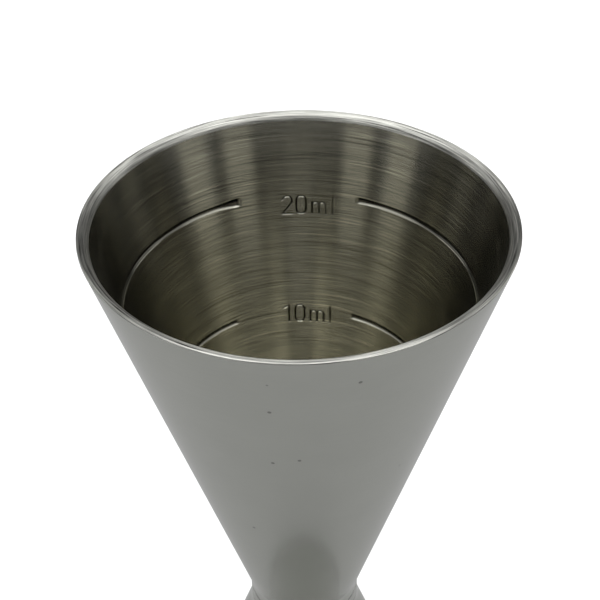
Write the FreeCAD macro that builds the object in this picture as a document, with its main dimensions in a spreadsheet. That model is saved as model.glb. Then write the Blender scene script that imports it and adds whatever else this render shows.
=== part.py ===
"""Double-ended bar jigger: two drawn steel cups welded bottom to bottom.

Frame: millimetres, +Z up, the origin on the table at the middle of the lower rim.
Each cup is drawn in its own frame, whose origin is the middle of its weld face and whose +Z
points out of its mouth. The capacity marks face -Y, on the +Y side of the upper cup.
"""
import FreeCAD, Part
import math
import os
import Sketcher

Vector = FreeCAD.Vector

# Driving dimensions, in millimetres and degrees: alias, value, meaning.
DIMENSIONS = [
    ("small_rim_diameter", 41.7, "outside diameter of the upper cup's rim"),
    ("small_height", 54.8, "weld face to rim, upper cup"),
    ("large_rim_diameter", 50.2, "outside diameter of the lower cup's rim"),
    ("large_height", 59.4, "weld face to rim, lower cup"),
    ("wall", 0.9, "thickness of both cone walls"),
    ("floor", 1.0, "thickness of each cup's closed bottom"),
    ("floor_curve", 2.0, "inside radius between wall and bottom"),
    ("neck_diameter", 13.2, "diameter of the waist"),
    ("neck_curve", 9.0, "radius of the hollow between waist and cone"),
    ("weld_width", 2.0, "width of the ground weld on the waist"),
    ("rim_round", 0.08, "radius of the rim's outer edge"),
    ("lip_round", 0.95, "radius of the rim's rolled-in inner edge"),
    ("line_width", 0.6, "height of an engraved capacity line"),
    ("line_depth", 0.2, "depth of an engraved capacity line"),
    ("upper_line_drop", 8.9, "rim down to the 20 ml line"),
    ("upper_line_gap", 44.0, "angle that the 20 ml line leaves open"),
    ("upper_line_turn", 0.0, "middle of that gap, turned from +Y towards -X"),
    ("lower_line_drop", 22.47, "rim down to the 10 ml line"),
    ("lower_line_gap", 57.0, "angle that the 10 ml line leaves open"),
    ("lower_line_turn", 3.0, "middle of that gap, turned from +Y towards -X"),
    ("mark_height", 2.0, "height of the numerals"),
    ("mark_stroke", 0.24, "width of a numeral's stroke"),
    ("mark_depth", 0.15, "depth of the engraved marks"),
    ("upper_mark_offset", 0.98, "middle of the 20 ml mark, towards +X"),
    ("upper_mark_drop", 1.08, "20 ml line down to the middle of its mark"),
    ("lower_mark_offset", 0.78, "middle of the 10 ml mark, towards +X"),
    ("lower_mark_drop", 0.36, "10 ml line down to the middle of its mark"),
]

# The stroke alphabet, in units of the numeral height, on a baseline at 0: each letter's width,
# the gap after it and its strokes. A line is ("line", start, end) and an arc is
# ("arc", centre, radius, start angle, angle swept).
LETTERS = {
    "0": (0.54, 0.34, [("arc", (0.27, 0.73), 0.27, 0, 180), ("line", (0.0, 0.73), (0.0, 0.27)),
                       ("arc", (0.27, 0.27), 0.27, 180, 180), ("line", (0.54, 0.27), (0.54, 0.73))]),
    "1": (0.3, 0.36, [("line", (0.0, 0.84), (0.3, 1.0)), ("line", (0.3, 1.0), (0.3, 0.0))]),
    "2": (0.56, 0.22, [("arc", (0.27, 0.73), 0.27, -35, 200), ("line", (0.491, 0.575), (0.0, 0.0)),
                       ("line", (0.0, 0.0), (0.56, 0.0))]),
    "m": (0.76, 0.37, [("line", (0.0, 0.0), (0.0, 0.65)), ("arc", (0.19, 0.46), 0.19, 0, 180),
                       ("line", (0.38, 0.46), (0.38, 0.0)), ("arc", (0.57, 0.46), 0.19, 0, 180),
                       ("line", (0.76, 0.46), (0.76, 0.0))]),
    "l": (0.0, 0.0, [("line", (0.0, 0.0), (0.0, 0.97))]),
}

doc = FreeCAD.newDocument("bar_jigger")
sheet = doc.addObject("Spreadsheet::Sheet", "Dimensions")
for row, (alias, value, meaning) in enumerate(DIMENSIONS, start=1):
    sheet.set(f"A{row}", meaning)
    sheet.set(f"B{row}", str(value))
    sheet.setAlias(f"B{row}", alias)
doc.recompute()


def size(alias):
    """Value of a driving dimension."""
    return float(sheet.get(alias))


def ref(alias):
    """The same dimension, as a term of an expression."""
    return f"Dimensions.{alias}"


def wall_tilt(cup):
    """Expression for a cone wall's half-angle: its line runs from the rim's outer corner to the
    point where it is tangent to the neck's hollow curve."""
    across = f"({ref(cup + '_rim_diameter')} / 2 - {ref('neck_diameter')} / 2 - {ref('neck_curve')})"
    along = f"({ref(cup + '_height')} - {ref('weld_width')} / 2)"
    reach = f"hypot({across}; {along})"
    return f"(180 deg - atan2({along}; {across}) - acos({ref('neck_curve')} / {reach}))"


def inner_radius(cup, height):
    """Expression for the inside radius of a cup at a height above its weld face."""
    tilt = wall_tilt(cup)
    fall = f"({ref(cup + '_height')} - ({height})) * tan({tilt})"
    return f"({ref(cup + '_rim_diameter')} / 2 - {fall} - {ref('wall')} / cos({tilt}))"


def line_height(line):
    """Expression for the height of a capacity line's middle above the weld face."""
    return f"({ref('small_height')} - {ref(line + '_line_drop')})"


def new_sketch(body, name, plane):
    """Sketch on one of a body's own origin planes."""
    sketch = body.newObject("Sketcher::SketchObject", name)
    sketch.AttachmentSupport = [(next(f for f in body.Origin.OriginFeatures if f.Role == plane), "")]
    sketch.MapMode = "FlatFace"
    return sketch


def fix_point(sketch, geometry, point, x=None, y=None):
    """Tie one end of a sketch element to the origin by expressions for its coordinates."""
    place = sketch.getPoint(geometry, point)
    for kind, expression, value in (("DistanceX", x, place.x), ("DistanceY", y, place.y)):
        if expression is not None:
            index = sketch.addConstraint(Sketcher.Constraint(kind, -1, 1, geometry, point, value))
            sketch.setExpression(f"Constraints[{index}]", expression)


def fix_value(sketch, kind, elements, value, expression):
    """Add a dimension such as a radius or a distance and tie it to an expression."""
    index = sketch.addConstraint(Sketcher.Constraint(kind, *elements, value))
    sketch.setExpression(f"Constraints[{index}]", expression)


def revolve(body, sketch, name):
    """Full turn of a sketch about the body's axis."""
    solid = body.newObject("PartDesign::Revolution", name)
    solid.Profile = sketch
    solid.ReferenceAxis = (sketch, ["V_Axis"])
    solid.Angle = 360.0
    sketch.Visibility = False
    return solid


def cup_outline(cup):
    """Corner points of a cup's half section and the two arcs' centres, as plain numbers."""
    rim, height = size(cup + "_rim_diameter") / 2, size(cup + "_height")
    neck, curve, band = size("neck_diameter") / 2, size("neck_curve"), size("weld_width") / 2
    across, along = rim - neck - curve, height - band
    tilt = math.pi - math.atan2(along, across) - math.acos(curve / math.hypot(across, along))
    out = Vector(math.cos(tilt), -math.sin(tilt), 0)
    rise = Vector(math.sin(tilt), math.cos(tilt), 0)
    neck_centre = Vector(neck + curve, band, 0)
    inner_edge = Vector(rim - size("wall") / out.x, height, 0)
    floor, floor_curve = size("floor"), size("floor_curve")
    drop = (inner_edge.y + out.y * -floor_curve - floor - floor_curve) / rise.y
    floor_centre = inner_edge - out * floor_curve - rise * drop
    return {
        "weld_edge": Vector(neck - band, 0, 0), "waist": Vector(neck, band, 0),
        "neck_centre": neck_centre, "cone_foot": neck_centre - out * curve,
        "rim_corner": Vector(rim, height, 0), "inner_edge": inner_edge,
        "wall_foot": floor_centre + out * floor_curve, "floor_centre": floor_centre,
        "floor_edge": Vector(floor_centre.x, floor, 0), "floor_middle": Vector(0, floor, 0),
        "tilt": tilt,
    }


def draw_cup(cup, name):
    """Body of one cup in its own frame: cone wall, hollow neck, closed bottom and rolled rim."""
    body = doc.addObject("PartDesign::Body", name)
    sketch = new_sketch(body, name + "_section", "XZ_Plane")
    at = cup_outline(cup)
    segment, up = Part.LineSegment, Vector(0, 0, 1)
    neck_circle = Part.Circle(at["neck_centre"], up, size("neck_curve"))
    floor_circle = Part.Circle(at["floor_centre"], up, size("floor_curve"))
    weld_face = sketch.addGeometry(segment(Vector(0, 0, 0), at["weld_edge"]))
    weld_prep = sketch.addGeometry(segment(at["weld_edge"], at["waist"]))
    hollow = sketch.addGeometry(Part.ArcOfCircle(neck_circle, math.pi - at["tilt"], math.pi))
    outside = sketch.addGeometry(segment(at["cone_foot"], at["rim_corner"]))
    land = sketch.addGeometry(segment(at["rim_corner"], at["inner_edge"]))
    inside = sketch.addGeometry(segment(at["inner_edge"], at["wall_foot"]))
    corner = sketch.addGeometry(
        Part.ArcOfCircle(floor_circle, 1.5 * math.pi, 2 * math.pi - at["tilt"]))
    floor = sketch.addGeometry(segment(at["floor_edge"], at["floor_middle"]))
    axis = sketch.addGeometry(segment(at["floor_middle"], Vector(0, 0, 0)))

    start, end, centre = 1, 2, 3
    for first, first_end, second, second_end in (
            (weld_face, end, weld_prep, start), (weld_prep, end, hollow, end),
            (outside, end, land, start), (land, end, inside, start),
            (floor, end, axis, start), (axis, end, weld_face, start)):
        sketch.addConstraint(
            Sketcher.Constraint("Coincident", first, first_end, second, second_end))
    for first, first_end, second, second_end in (
            (hollow, start, outside, start), (inside, end, corner, end), (corner, start, floor, start)):
        sketch.addConstraint(Sketcher.Constraint("Tangent", first, first_end, second, second_end))
    sketch.addConstraint(Sketcher.Constraint("Coincident", weld_face, start, -1, 1))
    for level in (weld_face, land, floor):
        sketch.addConstraint(Sketcher.Constraint("Horizontal", level))
    sketch.addConstraint(Sketcher.Constraint("Parallel", inside, outside))

    neck, band = f"{ref('neck_diameter')} / 2", f"{ref('weld_width')} / 2"
    rim, height = f"{ref(cup + '_rim_diameter')} / 2", ref(cup + "_height")
    fix_point(sketch, weld_face, end, x=f"{neck} - {band}")
    fix_point(sketch, weld_prep, end, x=neck, y=band)
    fix_point(sketch, hollow, centre, y=band)
    fix_point(sketch, outside, end, x=rim, y=height)
    fix_point(sketch, floor, end, x="0 mm", y=ref("floor"))
    fix_value(sketch, "Radius", (hollow,), size("neck_curve"), ref("neck_curve"))
    fix_value(sketch, "Radius", (corner,), size("floor_curve"), ref("floor_curve"))
    fix_value(sketch, "Distance", (inside, start, outside), size("wall"), ref("wall"))
    turned = revolve(body, sketch, name + "_turned")
    doc.recompute()

    lip = round_edge(body, turned, name + "_lip", at["inner_edge"], "lip_round")
    body.Tip = round_edge(body, lip, name + "_rim_edge", at["rim_corner"], "rim_round")
    doc.recompute()
    return body


def round_edge(body, before, name, corner, radius):
    """Round the circular edge that a corner of the section turns into."""
    rounded = body.newObject("PartDesign::Fillet", name)
    rounded.Base = (before, [edge_name(before, corner.x, corner.y)])
    rounded.setExpression("Radius", ref(radius))
    doc.recompute()
    return rounded


def edge_name(feature, radius, height):
    """Name of the circular edge of a given radius and height."""
    for number, edge in enumerate(feature.Shape.Edges, start=1):
        curve = edge.Curve
        if isinstance(curve, Part.Circle) and abs(curve.Radius - radius) < 1e-4:
            if abs(curve.Center.z - height) < 1e-4:
                return f"Edge{number}"
    raise ValueError(f"{feature.Name} has no edge of radius {radius} at height {height}")


def engrave_line(body, line):
    """Capacity line: a channel turned into the inner wall, open for the mark's stretch."""
    sketch = new_sketch(body, line + "_line_section", "YZ_Plane")
    turn = ref(line + "_line_turn")
    sketch.setExpression("AttachmentOffset.Rotation", f"rotation(vector(0; 1; 0); {turn} * 1 deg)")
    half = f"{ref('line_width')} / 2"
    bottom, top = f"({line_height(line)} - {half})", f"({line_height(line)} + {half})"
    clear = ref("wall")
    corners = [
        (f"-({inner_radius('small', bottom)} + {ref('line_depth')})", bottom),
        (f"-({inner_radius('small', top)} + {ref('line_depth')})", top),
        (f"-({inner_radius('small', top)} - {clear})", top),
        (f"-({inner_radius('small', bottom)} - {clear})", bottom),
    ]
    points = [Vector(number(sketch, x), number(sketch, y), 0) for x, y in corners]
    edges = [sketch.addGeometry(Part.LineSegment(points[i], points[(i + 1) % 4])) for i in range(4)]
    for i, edge in enumerate(edges):
        sketch.addConstraint(Sketcher.Constraint("Coincident", edge, 2, edges[(i + 1) % 4], 1))
        fix_point(sketch, edge, 1, x=corners[i][0], y=corners[i][1])
    before = body.Shape.Volume
    channel = body.newObject("PartDesign::Groove", line + "_line")
    channel.Profile = sketch
    channel.ReferenceAxis = (sketch, ["V_Axis"])
    channel.Midplane = True
    channel.setExpression("Angle", f"360 - {ref(line + '_line_gap')}")
    sketch.Visibility = False
    body.Tip = channel
    doc.recompute()
    if body.Shape.Volume >= before:
        raise ValueError(f"the {line} line cut nothing")


def number(owner, expression):
    """Value of an expression, as the document works it out."""
    value = owner.evalExpression(expression)
    return value.Value if hasattr(value, "Value") else float(value)


def arc_edge(centre, radius, first, last):
    """Arc in the plane that faces -Y, its angles in degrees from +X towards +Z."""
    def on_arc(angle):
        return centre + Vector(math.cos(math.radians(angle)), 0, math.sin(math.radians(angle))) * radius
    return Part.Arc(on_arc(first), on_arc((first + last) / 2), on_arc(last)).toShape()


def stroke_solid(stroke, scale, length):
    """One stroke of a letter as a cutter along +Y, with round ends."""
    half, along = size("mark_stroke") / 2, Vector(0, 1, 0)
    if stroke[0] == "line":
        ends = [Vector(x * scale, 0, z * scale) for x, z in stroke[1:]]
        side = (ends[1] - ends[0]).normalize().cross(along) * half
        outline = Part.makePolygon(
            [ends[0] + side, ends[1] + side, ends[1] - side, ends[0] - side, ends[0] + side])
    else:
        (x, z), radius, first, swept = stroke[1:]
        centre, radius, last = Vector(x * scale, 0, z * scale), radius * scale, first + swept
        outer, inner = (arc_edge(centre, radius + side, first, last) for side in (half, -half))
        ends = [arc_edge(centre, radius, first, last).Vertexes[i].Point for i in (0, 1)]
        sides = [Part.LineSegment(outer.Vertexes[i].Point, inner.Vertexes[i].Point).toShape()
                 for i in (0, 1)]
        outline = Part.Wire(Part.__sortEdges__([outer, sides[1], inner, sides[0]]))
    core = Part.Face(outline).extrude(along * length)
    return core.multiFuse([Part.makeCylinder(half, length, end, along) for end in ends])


def mark_cutter(text, line):
    """Cutter for a capacity mark: its strokes, as deep as the cone that bounds the engraving."""
    scale, reach = size("mark_height"), size("small_rim_diameter") / 2
    width = sum(LETTERS[letter][0] + LETTERS[letter][1] for letter in text) - LETTERS[text[-1]][1]
    place, strokes = -width / 2 * scale, []
    for letter in text:
        advance, gap, outline = LETTERS[letter]
        for stroke in outline:
            solid = stroke_solid(stroke, scale, reach)
            solid.translate(Vector(place, 0, -scale / 2))
            strokes.append(solid)
        place += (advance + gap) * scale
    letters = doc.addObject("Part::Feature", "strokes_" + text)
    letters.Shape = strokes[0].multiFuse(strokes[1:])
    letters.setExpression("Placement.Base.x", ref(line + "_mark_offset"))
    middle = f"{line_height(line)} - {ref(line + '_mark_drop')}"
    letters.setExpression("Placement.Base.z", middle)

    bound = doc.addObject("Part::Cone", "depth_" + text)
    low, high = (f"({middle} {sign} {ref('mark_height')})" for sign in "-+")
    bound.setExpression("Radius1", f"{inner_radius('small', low)} + {ref('mark_depth')}")
    bound.setExpression("Radius2", f"{inner_radius('small', high)} + {ref('mark_depth')}")
    bound.setExpression("Height", f"2 * {ref('mark_height')}")
    bound.setExpression("Placement.Base.z", low)

    cutter = doc.addObject("Part::MultiCommon", "mark_" + text)
    cutter.Shapes = [letters, bound]
    return cutter


def stand_on_waist(piece, upside_down=False):
    """Put a piece drawn from its weld face at the waist, turned over for the lower cup."""
    if upside_down:
        piece.Placement = FreeCAD.Placement(Vector(0, 0, 0), FreeCAD.Rotation(Vector(1, 0, 0), 180))
    piece.setExpression("Placement.Base.z", ref("large_height"))


def make_upper_cup():
    """Small measure: capacity lines turned inside it, then both capacity marks engraved."""
    shell = draw_cup("small", "upper_cup_shell")
    engrave_line(shell, "upper")
    engrave_line(shell, "lower")
    marks = doc.addObject("Part::Compound", "capacity_marks")
    marks.Links = [mark_cutter("20ml", "upper"), mark_cutter("10ml", "lower")]
    engraved = doc.addObject("Part::Cut", "upper_cup")
    engraved.Base = shell
    engraved.Tool = marks
    doc.recompute()
    if engraved.Shape.Volume >= shell.Shape.Volume:
        raise ValueError("the capacity marks cut nothing")
    stand_on_waist(engraved)
    return engraved


def make_lower_cup():
    """Large measure, turned over so that the jigger stands on its rim."""
    cup = draw_cup("large", "lower_cup")
    stand_on_waist(cup, upside_down=True)
    return cup


def make_waist_weld():
    """Weld ring that fills the V between both weld preparations, ground flush with the waist."""
    body = doc.addObject("PartDesign::Body", "waist_weld")
    sketch = new_sketch(body, "waist_weld_section", "XZ_Plane")
    neck, band = size("neck_diameter") / 2, size("weld_width") / 2
    root, top, bottom = Vector(neck - band, 0, 0), Vector(neck, band, 0), Vector(neck, -band, 0)
    sides = [sketch.addGeometry(Part.LineSegment(a, b))
             for a, b in ((root, top), (top, bottom), (bottom, root))]
    for i, side in enumerate(sides):
        sketch.addConstraint(Sketcher.Constraint("Coincident", side, 2, sides[(i + 1) % 3], 1))
    neck_term, band_term = f"{ref('neck_diameter')} / 2", f"{ref('weld_width')} / 2"
    fix_point(sketch, sides[0], 1, x=f"{neck_term} - {band_term}", y="0 mm")
    fix_point(sketch, sides[1], 1, x=neck_term, y=band_term)
    fix_point(sketch, sides[2], 1, x=neck_term, y=f"-{band_term}")
    revolve(body, sketch, "waist_weld_turned")
    stand_on_waist(body)
    return body


def check_and_export(pieces):
    """Stop on any failed object or bad shape, then write one file per piece."""
    doc.recompute()
    for item in doc.Objects:
        if "Invalid" in item.State or "Error" in item.State:
            raise ValueError(f"{item.Label} failed: {item.State}")
    for piece in pieces:
        if piece.Shape.isNull() or not piece.Shape.isValid():
            raise ValueError(f"{piece.Label} has no valid shape")
    os.makedirs("parts", exist_ok=True)
    for piece in pieces:
        piece.Shape.exportStep(f"parts/{piece.Label}.step")
        box = piece.Shape.optimalBoundingBox()
        print(f"{piece.Label}: {len(piece.Shape.Solids)} solid, {piece.Shape.Volume:.1f} mm3, "
              f"Z {box.ZMin:.2f} to {box.ZMax:.2f}, X {box.XMin:.2f} to {box.XMax:.2f}")


check_and_export([make_upper_cup(), make_lower_cup(), make_waist_weld()])
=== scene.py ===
"""Bar jigger: two brushed steel cups welded at the waist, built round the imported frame.

Lengths are in metres and angles in radians. Each cup is drawn from its weld face towards its
mouth as a half section, which one Geometry Nodes tree turns about the Z axis and engraves.
"""
import logging
import math
from dataclasses import dataclass, field
from enum import Enum
from typing import Any, ClassVar

import bpy
from mathutils import Matrix, Vector


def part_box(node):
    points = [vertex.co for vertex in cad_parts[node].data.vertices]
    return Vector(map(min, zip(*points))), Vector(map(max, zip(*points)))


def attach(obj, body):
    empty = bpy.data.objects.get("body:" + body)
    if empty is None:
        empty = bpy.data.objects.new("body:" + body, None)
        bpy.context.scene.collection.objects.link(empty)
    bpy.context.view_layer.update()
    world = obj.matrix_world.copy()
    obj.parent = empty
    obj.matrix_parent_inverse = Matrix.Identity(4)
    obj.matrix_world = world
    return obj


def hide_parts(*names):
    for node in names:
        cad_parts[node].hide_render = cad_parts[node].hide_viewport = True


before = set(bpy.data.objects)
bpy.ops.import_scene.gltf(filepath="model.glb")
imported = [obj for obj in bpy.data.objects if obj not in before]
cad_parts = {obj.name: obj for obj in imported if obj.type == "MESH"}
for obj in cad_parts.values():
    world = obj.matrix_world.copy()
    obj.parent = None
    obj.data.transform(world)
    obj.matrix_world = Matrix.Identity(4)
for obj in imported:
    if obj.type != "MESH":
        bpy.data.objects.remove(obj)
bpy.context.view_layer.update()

LOG = logging.getLogger("jigger")
MM = 0.001
BODY = "root"
Point = tuple[float, float]


class Zone(Enum):
    """Which part of a cup's section a stretch belongs to."""

    INSIDE = 0
    RIM = 1
    OUTSIDE = 2


class NodeTree:
    """Short spelling for building node trees."""

    def __init__(self, tree: Any) -> None:
        """Wrap a node tree."""
        self.tree = tree

    def add(self, kind: str, links: dict[Any, Any] | None = None, **settings: Any) -> Any:
        """Add a node, set its properties and fill its inputs.

        Args:
            kind: the node's type name.
            links: input name or number to a value or to an output socket.
            **settings: properties of the node.

        Returns:
            The new node.
        """
        node = self.tree.nodes.new(kind)
        for name, value in settings.items():
            setattr(node, name, value)
        for key, value in (links or {}).items():
            socket = node.inputs[key]
            if isinstance(value, bpy.types.NodeSocket):
                self.tree.links.new(value, socket)
            else:
                socket.default_value = value
        return node

    def maths(self, operation: str, *values: Any) -> Any:
        """Output of a Math node with these inputs."""
        return self.add("ShaderNodeMath", dict(enumerate(values)), operation=operation).outputs[0]

    def vector(self, operation: str, *values: Any) -> Any:
        """Work out a vector, or the number that a dot product gives.

        Args:
            operation: the Vector Math node's operation.
            *values: its inputs in order.

        Returns:
            The node's output socket.
        """
        node = self.add("ShaderNodeVectorMath", dict(enumerate(values)), operation=operation)
        return node.outputs["Value" if operation == "DOT_PRODUCT" else "Vector"]

    def distance(self, value: Any, other: Any) -> Any:
        """Size of the difference between two numbers."""
        return self.maths("ABSOLUTE", self.maths("SUBTRACT", value, other))

    def soft_step(self, value: Any, low: Any, high: Any) -> Any:
        """Rise smoothly from 0 at low to 1 at high.

        Args:
            value: the number that is compared.
            low: value that gives 0.
            high: value that gives 1, which may be the smaller one.

        Returns:
            The output socket.
        """
        return self.add(
            "ShaderNodeMapRange", {"Value": value, "From Min": low, "From Max": high},
            interpolation_type="SMOOTHSTEP").outputs[0]


# ---------------------------------------------------------------------------------------------
# Half sections


@dataclass
class Section:
    """Half section of a turned piece: radius and height of each point, in order."""

    points: list[Point] = field(default_factory=list)
    zones: list[float] = field(default_factory=list)
    runs: list[float] = field(default_factory=list)

    def point(self, radius: float, height: float, zone: Zone) -> None:
        """Add one point, and note how many millimetres along the section it is.

        Args:
            radius: distance from the axis.
            height: height above the weld face.
            zone: the stretch that it belongs to.
        """
        if self.points:
            self.runs.append(self.runs[-1] + math.dist(self.points[-1], (radius, height)) / MM)
        else:
            self.runs.append(0.0)
        self.points.append((radius, height))
        self.zones.append(float(zone.value))

    def line(self, end: Point, steps: int, zone: Zone) -> None:
        """Add a straight stretch from the last point.

        Args:
            end: radius and height of its end.
            steps: number of equal steps.
            zone: the stretch that it belongs to.
        """
        start = self.points[-1]
        for i in range(1, steps + 1):
            share = i / steps
            self.point(start[0] + (end[0] - start[0]) * share,
                       start[1] + (end[1] - start[1]) * share, zone)

    def arc(self, centre: Point, radius: float, first: float, last: float, steps: int, zone: Zone) -> None:
        """Add an arc between two angles, measured from the radius axis towards the height.

        Args:
            centre: radius and height of its centre.
            radius: its own radius.
            first: angle of its first point.
            last: angle of its last point.
            steps: number of equal steps.
            zone: the stretch that it belongs to.
        """
        for i in range(steps + 1):
            angle = first + (last - first) * i / steps
            self.point(centre[0] + radius * math.cos(angle), centre[1] + radius * math.sin(angle), zone)


@dataclass
class Band:
    """Stretch of wall that needs close rows: its middle height, half width and row spacing."""

    middle: float
    half: float
    step: float


ROW_TOLERANCE = 1e-9


def rows_between(low: float, high: float, spacing: float, bands: list[Band]) -> list[float]:
    """Heights from low to high, evenly spaced outside the bands and close inside them.

    Args:
        low: first height.
        high: last height.
        spacing: distance between rows outside every band.
        bands: the stretches with close rows.

    Returns:
        Rising heights, low and high among them.
    """
    heights = [low]
    while heights[-1] < high:
        here = heights[-1]
        inside = [band.step for band in bands
                  if -band.half - ROW_TOLERANCE <= here - band.middle < band.half - ROW_TOLERANCE]
        starts = [band.middle - band.half for band in bands if band.middle - band.half > here + ROW_TOLERANCE]
        step = min(inside, default=spacing)
        heights.append(min(here + step, *starts, high))
    return heights


# ---------------------------------------------------------------------------------------------
# Engraved letters: each one's width, the gap after it and its strokes on a baseline at 0, in
# units of the numeral's height


def arc_points(centre: Point, radius: float, first: float, swept: float, steps: int = 14) -> list[Point]:
    """Points along an arc, its angles in degrees."""
    angles = [math.radians(first + swept * i / steps) for i in range(steps + 1)]
    return [(centre[0] + radius * math.cos(a), centre[1] + radius * math.sin(a)) for a in angles]


LETTERS: dict[str, tuple[float, float, list[list[Point]]]] = {
    "0": (0.54, 0.34, [arc_points((0.27, 0.73), 0.27, 0, 180) + arc_points((0.27, 0.27), 0.27, 180, 180)
                       + [(0.54, 0.73)]]),
    "1": (0.3, 0.36, [[(0.0, 0.84), (0.3, 1.0), (0.3, 0.0)]]),
    "2": (0.56, 0.22, [arc_points((0.27, 0.73), 0.27, 165, -200) + [(0.0, 0.0), (0.56, 0.0)]]),
    "m": (0.76, 0.37, [[(0.0, 0.0), (0.0, 0.65)], arc_points((0.19, 0.46), 0.19, 180, -180) + [(0.38, 0.0)],
                       arc_points((0.57, 0.46), 0.19, 180, -180) + [(0.76, 0.0)]]),
    "l": (0.0, 0.0, [[(0.0, 0.0), (0.0, 0.97)]]),
}


@dataclass
class CapacityMark:
    """A capacity engraved inside a cup: its line round the wall and its numerals.

    The line stops at an angle either side of the middle of the back and may grow wider there. A
    scribed line crosses the gap at a height above the middle of the engraved one.
    """

    text: str
    line_height: float
    gap_left: float
    gap_right: float
    text_drop: float
    offset: float
    flare_left: float = 0.0
    flare_right: float = 0.0
    scribe_height: float = 0.0
    height: float = 2.0 * MM

    @property
    def text_height(self) -> float:
        """Height of the middle of the numerals."""
        return self.line_height - self.text_drop

    def strokes(self) -> list[list[Vector]]:
        """Lay out the numerals' strokes on the XZ plane, in the cup's own frame.

        Returns:
            One path of points for each stroke.
        """
        width = sum(sum(LETTERS[letter][:2]) for letter in self.text) - LETTERS[self.text[-1]][1]
        across, paths = -width / 2, []
        for letter in self.text:
            advance, gap, outlines = LETTERS[letter]
            for outline in outlines:
                paths.append([Vector((self.offset + (across + x) * self.height, 0.0,
                                      self.text_height + (y - 0.5) * self.height)) for x, y in outline])
            across += advance + gap
        return paths


# ---------------------------------------------------------------------------------------------
# The turning tree


@dataclass(frozen=True)
class WallPoint:
    """Sockets that say where a point of the turned shell is."""

    radius: Any
    height: Any
    turn: Any
    across: Any
    along: Any
    inside: Any


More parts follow.
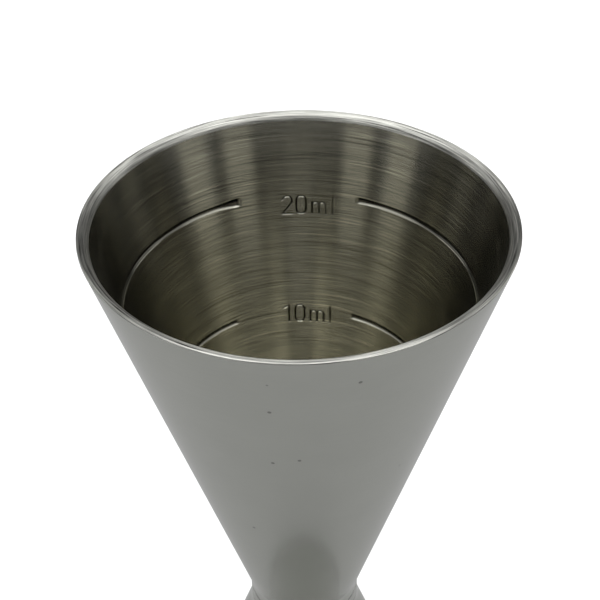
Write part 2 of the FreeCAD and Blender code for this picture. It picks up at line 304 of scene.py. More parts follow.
class TurningTree:
    """Geometry Nodes tree that turns a half section about Z and engraves its inner wall.

    Turns are angles from the middle of the back, where the columns crowd together for the
    numerals. A groove gets painted shade, darker towards its upper edge. The shell carries the
    painted shade of its grooves and numerals, which is below 0 where a scribed line is brighter
    than the steel round it.
    """

    NAME: ClassVar[str] = "turned_shell"
    COLUMNS: ClassVar[int] = 384
    SIZES: ClassVar[dict[str, float]] = {
        "Crowding": 0.85, "Weld Height": 0.0, "Direction": 1.0, "Line Width": 0.6 * MM,
        "Line Depth": 0.2 * MM, "Line Slope": 0.14 * MM, "Stroke Width": 0.24 * MM,
        "Stroke Slope": 0.1 * MM, "Mark Depth": 0.15 * MM}
    FLARE_TURN: ClassVar[float] = 0.16
    END_TURN: ClassVar[float] = 0.004
    # Painted shade in a groove: its strength rises from SHADE_TO's first value on the lower slope to its
    # second at the upper edge.
    SHADE_FROM: ClassVar[Point] = (-0.2 * MM, 0.1 * MM)
    SHADE_TO: ClassVar[Point] = (0.65, 1.15)
    SHADE_FULL: ClassVar[float] = 0.25
    SCRIBE_SAG: ClassVar[float] = 0.9 * MM
    SCRIBE_HALF_WIDTHS: ClassVar[Point] = (0.1 * MM, 0.03 * MM)
    SCRIBE_ENDS: ClassVar[Point] = (0.75, 0.6)
    SCRIBE_BRIGHTNESS: ClassVar[float] = 0.5
    MERGE_DISTANCE: ClassVar[float] = 0.002 * MM

    def __init__(self, rows: int, marks: list[CapacityMark], materials: dict[Zone, Any]) -> None:
        """Build the tree.

        Args:
            rows: number of points in the half section.
            marks: capacities to engrave.
            materials: one material for each zone.
        """
        self.group = bpy.data.node_groups.new(self.NAME, "GeometryNodeTree")
        self.rows = rows
        face = self.group.interface
        face.new_socket("Geometry", in_out="INPUT", socket_type="NodeSocketGeometry")
        face.new_socket("Strokes", in_out="INPUT", socket_type="NodeSocketObject")
        face.new_socket("Columns", in_out="INPUT", socket_type="NodeSocketInt").default_value = self.COLUMNS
        for name, value in self.SIZES.items():
            face.new_socket(name, in_out="INPUT", socket_type="NodeSocketFloat").default_value = value
        face.new_socket("Geometry", in_out="OUTPUT", socket_type="NodeSocketGeometry")
        self._wire(marks, materials)

    def _scribed(self, tree: NodeTree, mark: CapacityMark, wall: WallPoint, above: Any, there: Any) -> Any:
        """Work out the sagging scribed line that crosses a capacity line's gap.

        Args:
            tree: the node tree.
            mark: the capacity whose gap it crosses.
            wall: the wall point.
            above: height above the capacity line.
            there: 1 where the capacity line is, 0 in its gap.

        Returns:
            How bright the scribed line is at the wall point.
        """
        sag = tree.maths("MULTIPLY", tree.maths("MULTIPLY", wall.turn, wall.turn), self.SCRIBE_SAG)
        off = tree.distance(mark.scribe_height, tree.maths("ADD", above, sag))
        gap = tree.maths("SUBTRACT", 1.0, there)
        scribed = tree.maths("MULTIPLY", tree.soft_step(off, *self.SCRIBE_HALF_WIDTHS), gap)
        reach = tree.soft_step(tree.maths("ABSOLUTE", wall.turn), *self.SCRIBE_ENDS)
        return tree.maths("MULTIPLY", tree.maths("MULTIPLY", scribed, reach), self.SCRIBE_BRIGHTNESS)

    def _groove(self, tree: NodeTree, inputs: Any, mark: CapacityMark, wall: WallPoint) -> tuple[Any, Any]:
        """Work out one capacity line.

        Args:
            tree: the node tree.
            inputs: the tree's own inputs.
            mark: the capacity whose line it is.
            wall: the wall point.

        Returns:
            Share of the full depth at the wall point, and its painted shade there.
        """
        half = tree.maths("MULTIPLY", inputs["Line Width"], 0.5)
        for flare, end in ((mark.flare_left, -mark.gap_left), (mark.flare_right, mark.gap_right)):
            near = tree.soft_step(tree.distance(wall.turn, end), self.FLARE_TURN, 0.0)
            half = tree.maths("MULTIPLY_ADD", near, flare, half)
        above = tree.maths("SUBTRACT", wall.height, mark.line_height)
        slope = tree.maths("SUBTRACT", half, inputs["Line Slope"])
        across = tree.soft_step(tree.maths("ABSOLUTE", above), half, slope)
        left = tree.soft_step(wall.turn, -mark.gap_left + self.END_TURN, -mark.gap_left - self.END_TURN)
        right = tree.soft_step(wall.turn, mark.gap_right - self.END_TURN, mark.gap_right + self.END_TURN)
        there = tree.maths("MAXIMUM", left, right)
        # Painted shade in the groove, stronger towards its upper edge and gone in the gap.
        shade_rising = tree.add("ShaderNodeMapRange", {
            "Value": above, "From Min": self.SHADE_FROM[0], "From Max": self.SHADE_FROM[1],
            "To Min": self.SHADE_TO[0], "To Max": self.SHADE_TO[1]}).outputs[0]
        dark = tree.maths("MULTIPLY", tree.soft_step(across, 0.0, self.SHADE_FULL), shade_rising)
        dark = tree.maths("MULTIPLY", dark, there)
        if mark.scribe_height:
            dark = tree.maths("SUBTRACT", dark, self._scribed(tree, mark, wall, above, there))
        return tree.maths("MULTIPLY", across, there), dark

    def _numerals(self, tree: NodeTree, inputs: Any, wall: WallPoint) -> Any:
        """Work out the numerals.

        Args:
            tree: the node tree.
            inputs: the tree's own inputs.
            wall: the wall point.

        Returns:
            Share of the numerals' full depth at the wall point.
        """
        flat = tree.add("ShaderNodeCombineXYZ", {
            "X": tree.maths("MULTIPLY", wall.radius, wall.across), "Z": wall.height}).outputs[0]
        strokes = tree.add("GeometryNodeObjectInfo", {"Object": inputs["Strokes"]}).outputs["Geometry"]
        near = tree.add("GeometryNodeProximity", {"Geometry": strokes, "Sample Position": flat},
                        target_element="EDGES").outputs["Distance"]
        half = tree.maths("MULTIPLY", inputs["Stroke Width"], 0.5)
        cut = tree.soft_step(near, half, tree.maths("SUBTRACT", half, inputs["Stroke Slope"]))
        back = tree.maths("MULTIPLY", wall.inside, tree.maths("GREATER_THAN", wall.along, 0.0))
        return tree.maths("MULTIPLY", cut, back)

    def _engraving(self, tree: NodeTree, inputs: Any, marks: list[CapacityMark],
                   wall: WallPoint) -> tuple[Any, Any]:
        """Work out every capacity line and numeral.

        Args:
            tree: the node tree.
            inputs: the tree's own inputs.
            marks: capacities to engrave.
            wall: the wall point.

        Returns:
            Depth of the cut at the wall point, and its painted shade there.
        """
        if not marks:
            return 0.0, 0.0
        deepest, groove_shade = self._groove(tree, inputs, marks[0], wall)
        for mark in marks[1:]:
            deep, dark = self._groove(tree, inputs, mark, wall)
            deepest, groove_shade = tree.maths("MAXIMUM", deepest, deep), tree.maths("ADD", groove_shade, dark)
        numerals = self._numerals(tree, inputs, wall)
        grooved = tree.maths("MULTIPLY", tree.maths("MULTIPLY", deepest, wall.inside), inputs["Line Depth"])
        depth = tree.maths("MAXIMUM", tree.maths("MULTIPLY", numerals, inputs["Mark Depth"]), grooved)
        # Numerals' strokes get full painted shade, and the grooves add theirs on the inner wall.
        return depth, tree.maths("ADD", numerals, tree.maths("MULTIPLY", groove_shade, wall.inside))

    def _section_sample(self, tree: NodeTree, inputs: Any, row: Any, value: Any, kind: str) -> Any:
        """Value that the half section has at a row."""
        return tree.add("GeometryNodeSampleIndex", {
            "Geometry": inputs["Geometry"], "Index": row, "Value": value}, data_type=kind).outputs[0]

    def _wire(self, marks: list[CapacityMark], materials: dict[Zone, Any]) -> None:
        """Lay out the nodes: a grid with a row for each section point, rolled up into a shell.

        Args:
            marks: capacities to engrave.
            materials: one material for each zone.
        """
        tree = NodeTree(self.group)
        inputs = tree.add("NodeGroupInput").outputs
        columns = tree.maths("ADD", inputs["Columns"], 1.0)
        grid = tree.add("GeometryNodeMeshGrid", {"Vertices X": columns, "Vertices Y": self.rows})
        index = tree.add("GeometryNodeInputIndex").outputs[0]
        row = tree.maths("MODULO", index, float(self.rows))
        column = tree.maths("FLOOR", tree.maths("DIVIDE", index, float(self.rows)))

        position = tree.add("GeometryNodeInputPosition").outputs[0]
        spot = self._section_sample(tree, inputs, row, position, "FLOAT_VECTOR")
        labels = [tree.add("GeometryNodeInputNamedAttribute", {"Name": name}, data_type="FLOAT").outputs[0]
                  for name in ("zone", "run")]
        zone, run = (self._section_sample(tree, inputs, row, label, "FLOAT") for label in labels)
        parts = tree.add("ShaderNodeSeparateXYZ", {0: spot}).outputs

        share = tree.maths("DIVIDE", tree.maths("MULTIPLY", column, math.tau), inputs["Columns"])
        crowded = tree.maths("MULTIPLY", inputs["Crowding"], tree.maths("SINE", share))
        turn = tree.maths("SUBTRACT", share, crowded)
        whole = tree.maths("MULTIPLY", math.tau, tree.maths("GREATER_THAN", turn, math.pi))
        wall = WallPoint(radius=parts["X"], height=parts["Z"], turn=tree.maths("SUBTRACT", turn, whole),
                         across=tree.maths("SINE", turn), along=tree.maths("COSINE", turn),
                         inside=tree.maths("LESS_THAN", zone, 0.5))
        # Painted shade of the grooves and numerals, below 0 where the scribed line brightens the steel.
        depth, marked = self._engraving(tree, inputs, marks, wall)
        cut_radius = tree.maths("ADD", wall.radius, depth)
        level = tree.maths("MULTIPLY_ADD", wall.height, inputs["Direction"], inputs["Weld Height"])
        place = tree.add("ShaderNodeCombineXYZ", {
            "X": tree.maths("MULTIPLY", cut_radius, wall.across),
            "Y": tree.maths("MULTIPLY", cut_radius, wall.along), "Z": level}).outputs[0]

        shell = grid.outputs["Mesh"]
        for name, value in (("zone", zone), ("run", run), ("marked", marked)):
            labelled = {"Geometry": shell, "Name": name, "Value": value}
            shell = tree.add("GeometryNodeStoreNamedAttribute", labelled,
                             data_type="FLOAT", domain="POINT").outputs[0]
        placed = tree.add("GeometryNodeSetPosition", {"Geometry": shell, "Position": place}).outputs[0]
        upside_down = tree.maths("LESS_THAN", inputs["Direction"], 0.0)
        outward = tree.add("GeometryNodeFlipFaces", {"Mesh": placed, "Selection": upside_down}).outputs[0]
        merged = tree.add("GeometryNodeMergeByDistance", {
            "Geometry": outward, "Distance": self.MERGE_DISTANCE}).outputs[0]
        shaded = tree.add("GeometryNodeSetShadeSmooth", {"Geometry": merged}).outputs[0]
        result = tree.add("GeometryNodeRealizeInstances", {"Geometry": shaded}).outputs[0]
        stored = tree.add("GeometryNodeInputNamedAttribute", {"Name": "zone"}, data_type="FLOAT").outputs[0]
        for part, material in materials.items():
            chosen = tree.maths("COMPARE", stored, float(part.value), 0.5)
            result = tree.add("GeometryNodeSetMaterial", {
                "Geometry": result, "Selection": chosen, "Material": material}).outputs[0]
        tree.add("NodeGroupOutput", {"Geometry": result})


def turn_piece(name: str, section: Section, tree: TurningTree, strokes: Any = None,
               **sizes: float) -> Any:
    """Turn a half section into a finished mesh object.

    Args:
        name: the piece's name.
        section: its half section.
        tree: the turning tree.
        strokes: object that holds the engraved letters' strokes.
        **sizes: inputs of the tree by name, with spaces as underscores.

    Returns:
        A mesh object at the origin with no modifier.
    """
    mesh = bpy.data.meshes.new(name + "_section")
    corners = [(radius, 0.0, height) for radius, height in section.points]
    mesh.from_pydata(corners, [(i, i + 1) for i in range(len(corners) - 1)], [])
    for label, values in (("zone", section.zones), ("run", section.runs)):
        mesh.attributes.new(label, "FLOAT", "POINT").data.foreach_set("value", values)
    draft = bpy.data.objects.new(name + "_draft", mesh)
    bpy.context.scene.collection.objects.link(draft)
    modifier = draft.modifiers.new("turn", "NODES")
    modifier.node_group = tree.group
    sockets = {item.name: item.identifier for item in tree.group.interface.items_tree
               if item.in_out == "INPUT"}
    modifier[sockets["Strokes"]] = strokes
    for key, value in sizes.items():
        modifier[sockets[key.replace("_", " ")]] = value
    bpy.context.view_layer.update()
    depsgraph = bpy.context.evaluated_depsgraph_get()
    baked = bpy.data.meshes.new_from_object(
        draft.evaluated_get(depsgraph), preserve_all_data_layers=True, depsgraph=depsgraph)
    baked.name = name
    piece = bpy.data.objects.new(name, baked)
    bpy.context.scene.collection.objects.link(piece)
    bpy.data.objects.remove(draft)
    return piece


# ---------------------------------------------------------------------------------------------
# Finishes


@dataclass(frozen=True)
class BrushedSteel:
    """Stainless steel brushed in rings about Z, with longer light and dark scratches.

    Rings are relief and shade, scratches are shade alone. Stains are broad patches, and specks are
    small dark spots.
    """

    name: str
    colour: tuple[float, float, float]
    roughness: float
    anisotropy: float
    ring_depth: float
    ring_height: float = 0.2 * MM
    ring_length: float = 6.0 * MM
    ring_shade: float = 0.1
    scratch_height: float = 0.22 * MM
    scratch_length: float = 16.0 * MM
    scratch_shade: float = 0.0
    stain: float = 0.08
    # How strongly the engraving's painted shade darkens the colour.
    painted_engraving_shade: float = 0.0
    specks: float = 0.0

    RING_RADIUS: ClassVar[float] = 18.0 * MM
    RING_DETAIL: ClassVar[float] = 3.0
    SCRATCH_DETAIL: ClassVar[float] = 1.0
    NOISE_ROUGHNESS: ClassVar[float] = 0.6
    SCRATCH_LEVELS: ClassVar[Point] = (0.6, 0.7)
    ROUGHNESS_SWING: ClassVar[float] = 0.08
    STAINS_PER_METRE: ClassVar[float] = 0.22 / MM
    STAIN_DETAIL: ClassVar[float] = 4.0
    SPECK_CELLS_PER_METRE: ClassVar[float] = 0.4 / MM
    SPECK_EDGES: ClassVar[Point] = (0.09, 0.05)
    SPECK_CHANCE: ClassVar[float] = 0.85
    BRUSHED_ROUND: ClassVar[float] = 0.25

    def _ring_noise(self, tree: NodeTree, spoke: Any, height: float, length: float, detail: float) -> Any:
        """Stretch noise into arcs about the axis.

        Args:
            tree: the material's node tree.
            spoke: horizontal unit vector from the axis.
            height: about how high an arc is, along the section.
            length: about how long an arc is, round the axis.
            detail: the noise's detail.

        Returns:
            The noise's output socket.
        """
        run = tree.add("ShaderNodeAttribute", attribute_name="run").outputs["Fac"]
        turn = tree.vector("MULTIPLY", spoke, (self.RING_RADIUS / length,) * 3)
        turned = tree.add("ShaderNodeSeparateXYZ", {0: turn}).outputs
        at = tree.add("ShaderNodeCombineXYZ", {
            "X": turned["X"], "Y": turned["Y"], "Z": tree.maths("MULTIPLY", run, MM / height)}).outputs[0]
        return tree.add("ShaderNodeTexNoise", {
            "Vector": at, "Scale": 1.0, "Detail": detail, "Roughness": self.NOISE_ROUGHNESS}).outputs[0]

    def _swing(self, tree: NodeTree, noise: Any, amount: float) -> Any:
        """Number about 1 that noise moves up and down by an amount."""
        return tree.maths("ADD", 1.0 - amount, tree.maths("MULTIPLY", noise, 2 * amount))

    def _darkened(self, tree: NodeTree, shade: Any, where: Any, amount: float) -> Any:
        """Shade made darker by an amount where a value is 1."""
        kept = tree.maths("SUBTRACT", 1.0, tree.maths("MULTIPLY", where, amount))
        return tree.maths("MULTIPLY", shade, kept)

    def _shade(self, tree: NodeTree, place: Any, spoke: Any, rings: Any) -> Any:
        """Work out how much lighter or darker than its colour the steel is.

        Args:
            tree: the material's node tree.
            place: Object coordinates.
            spoke: horizontal unit vector from the axis.
            rings: the rings' noise.

        Returns:
            Factor of the colour.
        """
        level, full = self.SCRATCH_LEVELS
        arcs = self._ring_noise(tree, spoke, self.scratch_height, self.scratch_length, self.SCRATCH_DETAIL)
        light = tree.soft_step(arcs, level, full)
        dark = tree.soft_step(arcs, 1.0 - level, 1.0 - full)
        scratches = tree.maths("MULTIPLY", tree.maths("SUBTRACT", light, dark), self.scratch_shade)
        patches = tree.add("ShaderNodeTexNoise", {
            "Vector": tree.vector("MULTIPLY", place, (self.STAINS_PER_METRE,) * 3), "Scale": 1.0,
            "Detail": self.STAIN_DETAIL}).outputs[0]
        lined = tree.maths("ADD", self._swing(tree, rings, self.ring_shade), scratches)
        shade = tree.maths("MULTIPLY", self._swing(tree, patches, self.stain), lined)
        if self.specks:
            spread = tree.vector("MULTIPLY", place, (self.SPECK_CELLS_PER_METRE,) * 3)
            cells = tree.add("ShaderNodeTexVoronoi", {"Vector": spread, "Scale": 1.0}).outputs
            chance = tree.add("ShaderNodeSeparateColor", {0: cells["Color"]}).outputs[0]
            speck = tree.maths("MULTIPLY", tree.soft_step(cells["Distance"], *self.SPECK_EDGES),
                               tree.maths("GREATER_THAN", chance, self.SPECK_CHANCE))
            shade = self._darkened(tree, shade, speck, self.specks)
        # Painted shade in the engraved grooves and numerals, and the scribed line's brightening.
        if self.painted_engraving_shade:
            marked = tree.add("ShaderNodeAttribute", attribute_name="marked").outputs["Fac"]
            shade = self._darkened(tree, shade, marked, self.painted_engraving_shade)
        return shade

    def material(self) -> Any:
        """Build the material.

        Returns:
            A Blender material.
        """
        material = bpy.data.materials.new(self.name)
        material.use_nodes = True
        material.node_tree.nodes.clear()
        tree = NodeTree(material.node_tree)
        place = tree.add("ShaderNodeTexCoord").outputs["Object"]
        parts = tree.add("ShaderNodeSeparateXYZ", {0: place}).outputs
        flat = tree.add("ShaderNodeCombineXYZ", {"X": parts["X"], "Y": parts["Y"]}).outputs[0]
        spoke = tree.vector("NORMALIZE", flat)
        rings = self._ring_noise(tree, spoke, self.ring_height, self.ring_length, self.RING_DETAIL)
        relief = tree.add("ShaderNodeBump", {"Height": rings, "Distance": self.ring_depth, "Strength": 1.0})
        rough = tree.maths("ADD", self.roughness - self.ROUGHNESS_SWING / 2,
                           tree.maths("MULTIPLY", rings, self.ROUGHNESS_SWING))
        shade = self._shade(tree, place, spoke, rings)
        tint = tree.add("ShaderNodeVectorMath", {
            0: self.colour, "Scale": shade}, operation="SCALE").outputs["Vector"]
        tangent = tree.vector("CROSS_PRODUCT", (0.0, 0.0, 1.0), spoke)
        steel = tree.add("ShaderNodeBsdfPrincipled", {
            "Base Color": tint, "Metallic": 1.0, "Roughness": rough, "Anisotropic": self.anisotropy,
            "Anisotropic Rotation": self.BRUSHED_ROUND, "Normal": relief.outputs[0], "Tangent": tangent})
        tree.add("ShaderNodeOutputMaterial", {"Surface": steel.outputs[0]})
        return material


OUTSIDE_STEEL = BrushedSteel(
    "steel_outside", (0.53, 0.54, 0.5), roughness=0.09, anisotropy=0.3, ring_depth=0.0006 * MM,
    ring_shade=0.04, stain=0.04, specks=0.55)
INSIDE_STEEL = BrushedSteel(
    "steel_inside", (0.46, 0.45, 0.385), roughness=0.17, anisotropy=1.0, ring_depth=0.005 * MM,
    ring_height=0.13 * MM, ring_shade=0.6, scratch_height=0.14 * MM, scratch_shade=0.5, painted_engraving_shade=0.85)
RIM_STEEL = BrushedSteel(
    "steel_rim", (0.5, 0.5, 0.465), roughness=0.38, anisotropy=0.9, ring_depth=0.03 * MM,
    ring_height=0.15 * MM, ring_length=5.0 * MM, ring_shade=1.6, scratch_height=0.2 * MM,
    scratch_length=9.0 * MM, scratch_shade=0.6)
WELD_STEEL = BrushedSteel(
    "steel_weld", (0.53, 0.54, 0.5), roughness=0.2, anisotropy=0.6, ring_depth=0.003 * MM)


# ---------------------------------------------------------------------------------------------
# The jigger


NECK_RADIUS = 6.6 * MM
WELD_HALF = 1.0 * MM


@dataclass
class Cup:
    """One drawn cup, from its weld face to its rim.

    Its direction is 1 where it opens upwards and -1 where it opens downwards.
    """

    name: str
    rim_radius: float
    height: float
    direction: float
    weld_height: float
    marks: list[CapacityMark] = field(default_factory=list)
    neck_radius: float = NECK_RADIUS
    neck_curve: float = 9.0 * MM
    weld_half: float = WELD_HALF
    wall: float = 0.9 * MM
    floor: float = 1.0 * MM
    floor_curve: float = 2.0 * MM
    rim_round: float = 0.08 * MM
    lip_round: float = 0.95 * MM
    row_spacing: float = 2.5 * MM
    fine_row: float = 0.05 * MM
    fine_margin: float = 0.05 * MM
    numeral_margin: float = 0.2 * MM
    floor_steps: int = 4
    round_steps: int = 8
    lip_steps: int = 24
    face_steps: int = 3

    @property
    def tilt(self) -> float:
        """Half-angle of the cone, whose wall is tangent to the neck's hollow.

        Returns:
            The angle.
        """
        across = self.rim_radius - self.neck_radius - self.neck_curve
        along = self.height - self.weld_half
        return math.pi - math.atan2(along, across) - math.acos(self.neck_curve / math.hypot(across, along))

    def inner_radius(self, height: float) -> float:
        """Inside radius of the cone at a height."""
        outside = self.rim_radius - (self.height - height) * math.tan(self.tilt)
        return outside - self.wall / math.cos(self.tilt)

    def fine_bands(self) -> list[Band]:
        """Stretches of wall that hold a capacity line or its numerals.

        Returns:
            Two bands for each mark.
        """
        half_line = TurningTree.SIZES["Line Width"] / 2 + self.fine_margin
        bands = [Band(mark.line_height, half_line + max(mark.flare_left, mark.flare_right), self.fine_row)
                 for mark in self.marks]
        bands += [Band(mark.text_height, mark.height / 2 + self.numeral_margin, self.fine_row)
                  for mark in self.marks]
        return bands

    def section(self) -> Section:
        """Draw the half section, from the middle of the floor over the rim to the middle of the weld face.

        Returns:
            The section.
        """
        tilt, top = self.tilt, self.height
        out = (math.cos(tilt), -math.sin(tilt))
        lip_reach = self.lip_round / math.tan((math.pi / 2 + tilt) / 2)
        lip_middle = (self.inner_radius(top) + lip_reach, top - self.lip_round)
        lip_foot = lip_middle[1] + self.lip_round * math.sin(tilt)
        floor_middle_height = self.floor + self.floor_curve
        floor_middle = (self.inner_radius(floor_middle_height) - self.floor_curve / math.cos(tilt),
                        floor_middle_height)
        shape = Section()
        shape.point(0.0, self.floor, Zone.INSIDE)
        shape.line((floor_middle[0], self.floor), self.floor_steps, Zone.INSIDE)
        shape.arc(floor_middle, self.floor_curve, -math.pi / 2, -tilt, self.round_steps, Zone.INSIDE)
        for height in rows_between(shape.points[-1][1], lip_foot, self.row_spacing, self.fine_bands())[1:]:
            shape.point(self.inner_radius(height), height, Zone.INSIDE)
        shape.arc(lip_middle, self.lip_round, math.pi - tilt, math.pi / 2, self.lip_steps, Zone.RIM)
        round_reach = self.rim_round * math.tan((math.pi / 2 + tilt) / 2)
        round_middle = (self.rim_radius - round_reach, top - self.rim_round)
        shape.line((round_middle[0], top), 2, Zone.RIM)
        shape.arc(round_middle, self.rim_round, math.pi / 2, -tilt, self.round_steps, Zone.RIM)
        hollow_middle = (self.neck_radius + self.neck_curve, self.weld_half)
        cone_foot = (hollow_middle[0] - self.neck_curve * out[0], hollow_middle[1] - self.neck_curve * out[1])
        steps = round((top - cone_foot[1]) / self.row_spacing)
        shape.line(cone_foot, steps, Zone.OUTSIDE)
        shape.arc(hollow_middle, self.neck_curve, math.pi - tilt, math.pi, self.round_steps, Zone.OUTSIDE)
        shape.line((self.neck_radius - self.weld_half, 0.0), 2, Zone.OUTSIDE)
        shape.line((0.0, 0.0), self.face_steps, Zone.OUTSIDE)
        return shape

    def stroke_object(self) -> Any:
        """Make a wire object that holds the strokes of this cup's capacity marks.

        Returns:
            The object.
        """
        corners, edges = [], []
        for mark in self.marks:
            for path in mark.strokes():
                first = len(corners)
                corners += path
                edges += [(first + i, first + i + 1) for i in range(len(path) - 1)]
        mesh = bpy.data.meshes.new(self.name + "_strokes")
        mesh.from_pydata(corners, edges, [])
        holder = bpy.data.objects.new(self.name + "_strokes", mesh)
        bpy.context.scene.collection.objects.link(holder)
        return holder

    def build(self, materials: dict[Zone, Any]) -> Any:
        """Turn, engrave and dress the cup, and put it in place of its node.

        Args:
            materials: one material for each zone.

        Returns:
            The finished piece.
        """
        section = self.section()
        strokes = self.stroke_object()
        tree = TurningTree(len(section.points), self.marks, materials)
        piece = turn_piece(self.name + "_shell", section, tree, strokes,
                           Weld_Height=self.weld_height, Direction=self.direction)
        bpy.data.objects.remove(strokes)
        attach(piece, BODY)
        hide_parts(self.name)
        LOG.info("%s: %d rows, %d faces", self.name, len(section.points), len(piece.data.polygons))
        return piece


@dataclass
class WaistWeld:
    """Ring of weld metal between the cups, ground flush with the waist."""

    weld_height: float
    name: str = "waist_weld"
    neck_radius: float = NECK_RADIUS
    half: float = WELD_HALF
    slope_steps: int = 3
    face_steps: int = 6

    def section(self) -> Section:
        """Draw the half section of the V from its root, upper side first, so that it faces outwards.

        Returns:
            The section.
        """
        root = (self.neck_radius - self.half, 0.0)
        shape = Section()
        shape.point(*root, Zone.OUTSIDE)
        shape.line((self.neck_radius, self.half), self.slope_steps, Zone.OUTSIDE)
        shape.line((self.neck_radius, -self.half), self.face_steps, Zone.OUTSIDE)
        shape.line(root, self.slope_steps, Zone.OUTSIDE)
        return shape

    def build(self, material: Any) -> Any:
        """Turn and dress the ring, and put it in place of its node.

        Args:
            material: its steel.

        Returns:
            The finished piece.
        """
        section = self.section()
        tree = TurningTree(len(section.points), [], {Zone.OUTSIDE: material})
        piece = turn_piece(self.name + "_ring", section, tree, Weld_Height=self.weld_height)
        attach(piece, BODY)
        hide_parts(self.name)
        LOG.info("%s: %d faces", self.name, len(piece.data.polygons))
        return piece


# ---------------------------------------------------------------------------------------------
# The studio


@dataclass(frozen=True)
class SoftBox:
    """Square area light that faces down, and shows neither to the camera nor in the steel."""

    name: str
    height: float
    side: float
    radiance: float

    def build(self) -> Any:
        """Make the light. Its power follows from its radiance and area.

        Returns:
            The light's object.
        """
        light = bpy.data.lights.new(self.name, "AREA")
        light.shape = "RECTANGLE"
        light.size, light.size_y = self.side, self.side
        light.energy = self.radiance * math.pi * self.side**2
        lamp = bpy.data.objects.new(self.name, light)
        bpy.context.scene.collection.objects.link(lamp)
        lamp.location = (0.0, 0.0, self.height)
        lamp.visible_camera = False
        lamp.visible_glossy = False
        LOG.info("light %s", self.name)
        return lamp


@dataclass(frozen=True)
class Glow:
    """Soft-edged patch of the room that gives light, in degrees.

    Azimuths run from the back, +Y, towards +X.
    """

    azimuth: float
    half_width: float
    low: float
    high: float
    radiance: float
    edge: float = 6.0

    HALF_LEVEL_EDGE: ClassVar[float] = 5.0

    def wire(self, tree: NodeTree, flat: Any, elevation: Any) -> Any:
        """Add the patch's nodes.

        Args:
            tree: the room's node tree.
            flat: horizontal unit direction.
            elevation: elevation in degrees.

        Returns:
            Output socket with the patch's radiance in this direction.
        """
        middle, half_edge, level = math.radians(self.azimuth), self.edge / 2, self.HALF_LEVEL_EDGE
        cosine = tree.vector("DOT_PRODUCT", flat, (math.sin(middle), math.cos(middle), 0.0))
        away = tree.maths("DEGREES", tree.maths("ARCCOSINE", cosine))
        across = tree.soft_step(away, self.half_width + half_edge, self.half_width - half_edge)
        above = tree.soft_step(elevation, self.low - level, self.low + level)
        below = tree.soft_step(elevation, self.high + level, self.high - level)
        shape = tree.maths("MULTIPLY", across, tree.maths("MULTIPLY", above, below))
        return tree.maths("MULTIPLY", shape, self.radiance)


ALL_ROUND = 181.0
CEILING = Glow(0.0, ALL_ROUND, 60.0, 120.0, 1.6, 8.0)
HIGH_WALLS = Glow(0.0, 150.0, 45.0, 70.0, 1.0, 8.0)
LOW_WALLS = Glow(0.0, ALL_ROUND, -20.0, 10.0, 0.22, 8.0)
BACK_WALL = Glow(0.0, 40.0, 40.0, 70.0, 0.6)
BACK_WINDOW = Glow(0.0, 15.0, 40.0, 50.0, 1.5)
BACK_SIDE_WINDOWS = [Glow(side * 65.0, 15.0, 15.0, 30.0, 1.5) for side in (-1, 1)]
FRONT_SIDE_WINDOWS = [Glow(side * 115.0, 15.0, 15.0, 30.0, 1.2) for side in (-1, 1)]
SKYLIGHTS = [Glow(side * 130.0, 15.0, 50.0, 70.0, 1.2) for side in (-1, 1)]
ROOM = [CEILING, HIGH_WALLS, LOW_WALLS, BACK_WALL, BACK_WINDOW,
        *BACK_SIDE_WINDOWS, *FRONT_SIDE_WINDOWS, *SKYLIGHTS]
FLOOR_LIGHT = SoftBox("floor_light", height=1.2, side=3.2, radiance=0.62)


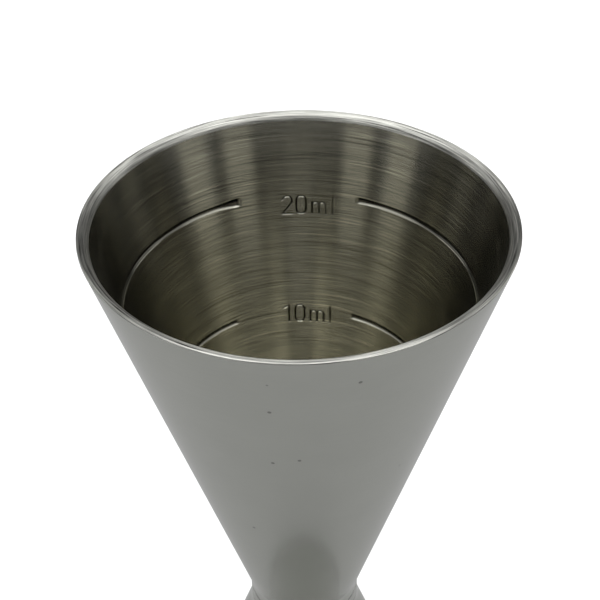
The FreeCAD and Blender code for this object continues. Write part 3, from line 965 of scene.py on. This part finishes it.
@dataclass
class Studio:
    """Pale floor, light and camera.

    The floor and the room are pale to the camera, and darker to the light that the steel reflects.
    The camera's place is in radii of the rim, from the middle of the rim. Its roll is in degrees, and
    its lens and sensor are in millimetres.
    """

    rim_height: float
    rim_radius: float
    floor_half: float = 1.5
    floor_seen: float = 0.86
    floor_reflected: float = 0.33
    room_seen: float = 1.0
    room_dimmest: float = 0.03
    eye_back: float = 4.087
    eye_rise: float = 2.766
    aim_drop: float = 0.48
    roll: float = -0.89
    lens: float = 65.24
    sensor: float = 36.0
    clip: Point = (0.005, 10.0)

    def floor(self) -> Any:
        """Lay the floor, whose diffuse colour is paler to camera rays than to the others.

        Returns:
            The floor's object.
        """
        half = self.floor_half
        corners = [(-half, -half, 0), (half, -half, 0), (half, half, 0), (-half, half, 0)]
        mesh = bpy.data.meshes.new("floor")
        mesh.from_pydata(corners, [], [(0, 1, 2, 3)])
        floor = bpy.data.objects.new("floor", mesh)
        bpy.context.scene.collection.objects.link(floor)
        material = bpy.data.materials.new("pale_floor")
        material.use_nodes = True
        material.node_tree.nodes.clear()
        tree = NodeTree(material.node_tree)
        seen = tree.add("ShaderNodeLightPath").outputs["Is Camera Ray"]
        paint = tree.add("ShaderNodeMapRange", {
            "Value": seen, "To Min": self.floor_reflected, "To Max": self.floor_seen}).outputs[0]
        matt = tree.add("ShaderNodeBsdfDiffuse", {"Color": paint})
        tree.add("ShaderNodeOutputMaterial", {"Surface": matt.outputs[0]})
        mesh.materials.append(material)
        return floor

    def room(self) -> None:
        """Light the jigger with a room that shows in its steel, and is plain white to the camera."""
        world = bpy.data.worlds.new("room")
        bpy.context.scene.world = world
        world.use_nodes = True
        world.node_tree.nodes.clear()
        tree = NodeTree(world.node_tree)
        direction = tree.add("ShaderNodeTexCoord").outputs["Generated"]
        parts = tree.add("ShaderNodeSeparateXYZ", {0: direction}).outputs
        level = tree.add("ShaderNodeCombineXYZ", {"X": parts["X"], "Y": parts["Y"]}).outputs[0]
        flat = tree.vector("NORMALIZE", level)
        elevation = tree.maths("DEGREES", tree.maths("ARCSINE", parts["Z"]))
        light = self.room_dimmest
        for glow in ROOM:
            light = tree.maths("ADD", light, glow.wire(tree, flat, elevation))
        seen = tree.add("ShaderNodeLightPath").outputs["Is Camera Ray"]
        shown = tree.add("ShaderNodeMix", {"Factor": seen, "A": light, "B": self.room_seen},
                         data_type="FLOAT").outputs[0]
        sky = tree.add("ShaderNodeBackground", {"Color": (1.0, 1.0, 1.0, 1.0), "Strength": shown})
        tree.add("ShaderNodeOutputWorld", {"Surface": sky.outputs[0]})

    def camera(self) -> Any:
        """Place the camera above and in front, aimed at the axis below the rim and rolled a little.

        Returns:
            The camera's object.
        """
        rise = self.eye_rise * self.rim_radius
        eye = Vector((0.0, -self.eye_back * self.rim_radius, self.rim_height + rise))
        aim = Vector((0.0, 0.0, self.rim_height - self.aim_drop * self.rim_radius))
        data = bpy.data.cameras.new("camera")
        data.lens, data.sensor_width = self.lens, self.sensor
        data.clip_start, data.clip_end = self.clip
        camera = bpy.data.objects.new("camera", data)
        bpy.context.scene.collection.objects.link(camera)
        turn = (aim - eye).to_track_quat("-Z", "Y").to_matrix().to_4x4()
        rolled = Matrix.Rotation(math.radians(self.roll), 4, "Z")
        camera.matrix_world = Matrix.Translation(eye) @ turn @ rolled
        bpy.context.scene.camera = camera
        return camera


# ---------------------------------------------------------------------------------------------
# The whole scene

UPPER_RIM_RADIUS = 20.85 * MM
LOWER_RIM_RADIUS = 25.1 * MM
UPPER_LINE_DROP = 8.9 * MM
LOWER_LINE_DROP = 22.47 * MM


def capacity_marks(height: float) -> list[CapacityMark]:
    """The two capacities that are engraved in the upper cup.

    Args:
        height: the cup's height above its weld face.

    Returns:
        The marks, the higher one first.
    """
    upper = CapacityMark(
        "20ml", height - UPPER_LINE_DROP, gap_left=math.radians(22), gap_right=math.radians(22),
        text_drop=1.08 * MM, offset=0.98 * MM, flare_left=0.2 * MM, flare_right=0.06 * MM)
    lower = CapacityMark(
        "10ml", height - LOWER_LINE_DROP, gap_left=math.radians(31.5), gap_right=math.radians(25.5),
        text_drop=0.36 * MM, offset=0.78 * MM, flare_right=0.04 * MM, scribe_height=0.77 * MM)
    return [upper, lower]


def main() -> None:
    """Build the jigger and its studio."""
    logging.basicConfig(level=logging.INFO, format="%(name)s: %(message)s")
    upper_low, upper_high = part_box("upper_cup")
    rim_height, waist = upper_high.z, upper_low.z
    height = rim_height - waist

    steel = {Zone.INSIDE: INSIDE_STEEL.material(), Zone.RIM: RIM_STEEL.material(),
             Zone.OUTSIDE: OUTSIDE_STEEL.material()}
    Cup("upper_cup", UPPER_RIM_RADIUS, height, 1.0, waist, capacity_marks(height)).build(steel)
    Cup("lower_cup", LOWER_RIM_RADIUS, waist, -1.0, waist).build(steel)
    WaistWeld(waist).build(WELD_STEEL.material())

    studio = Studio(rim_height, UPPER_RIM_RADIUS)
    studio.camera()
    studio.floor()
    FLOOR_LIGHT.build()
    studio.room()
    bpy.context.scene.view_settings.view_transform = "Standard"

    LOG.info("jigger built")


if __name__ == "__main__":
    main()
